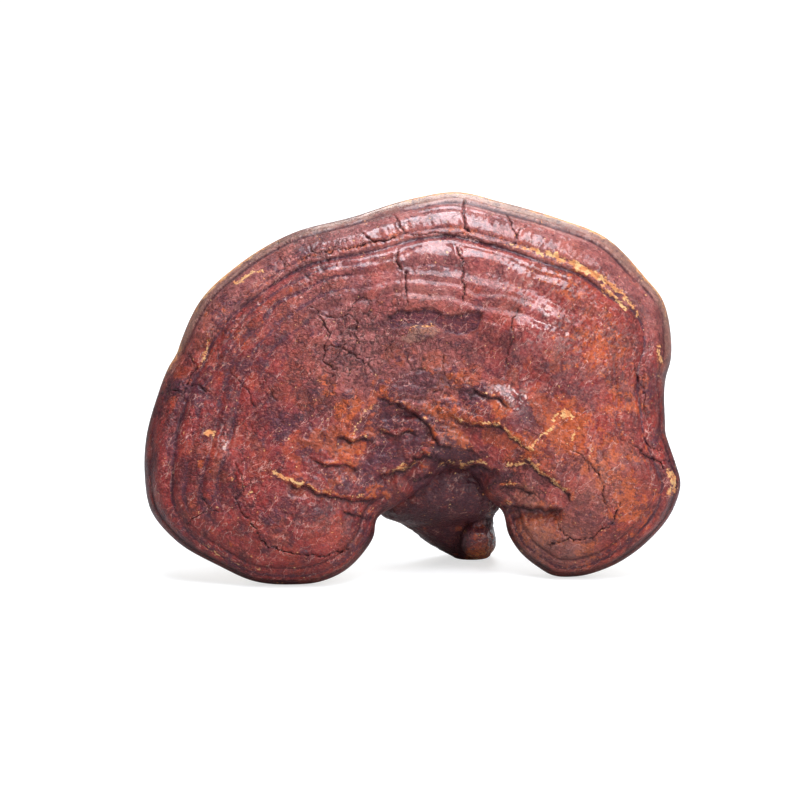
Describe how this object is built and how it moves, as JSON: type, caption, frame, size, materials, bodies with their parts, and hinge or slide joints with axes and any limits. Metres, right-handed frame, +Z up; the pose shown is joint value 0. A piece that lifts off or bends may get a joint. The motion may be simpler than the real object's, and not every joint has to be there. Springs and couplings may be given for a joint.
{
  "type": "reishi mushroom",
  "caption": "Dried reishi mushroom: a kidney-shaped lacquered cap with growth ridges, folds and cracks, standing on its two lobes and the flat cut of its short stem.",
  "frame": {"origin": "centre of the bounding box in X and Y, on the surface the mushroom stands on", "axes": "+Z up, +X to the right as seen from the lacquered side, -Y out of the lacquered side"},
  "size_m": [0.14, 0.0476, 0.099],
  "materials": {
    "cap_skin": "glossy natural lacquer, reddish brown with orange patches and cream flecks; matt tan pores on the underside",
    "stem_skin": "dark red-brown lacquer, with a rough orange-brown cut end"
  },
  "bodies": {
    "root": {"cap": "cap_skin", "stem": "stem_skin"}
  },
  "joints": []
}
